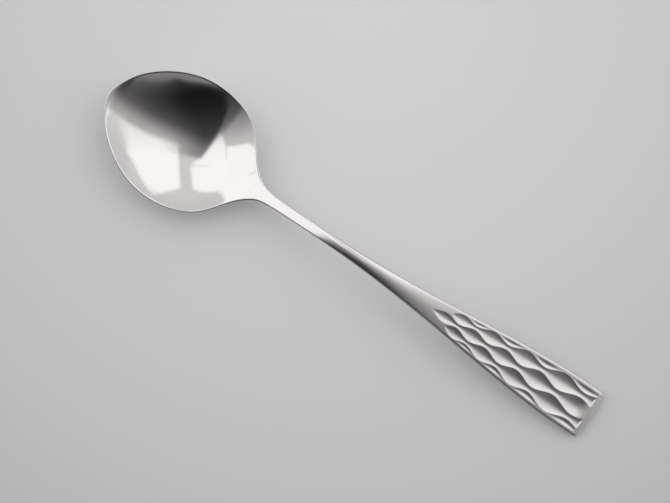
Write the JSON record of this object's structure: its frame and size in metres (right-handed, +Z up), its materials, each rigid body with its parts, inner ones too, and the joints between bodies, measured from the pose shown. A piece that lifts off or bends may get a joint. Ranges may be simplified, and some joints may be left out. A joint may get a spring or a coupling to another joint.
{
  "type": "soup spoon",
  "caption": "Stainless steel soup spoon pressed from a blank: egg-shaped bowl, slim neck and a flared, square-ended handle with a relief of wavy ridges.",
  "frame": {"origin": "on the table, under the middle of the spoon's length, where it lies on the back of its bowl and the end of its handle", "axes": "+X from the tip of the bowl to the end of the handle, +Y across the spoon, +Z up out of the bowl"},
  "size_m": [0.18, 0.0414, 0.0149],
  "materials": {
    "steel": "mirror polished bowl and neck, satin in the grooves of the handle"
  },
  "bodies": {
    "root": {"spoon": "steel"}
  },
  "joints": []
}
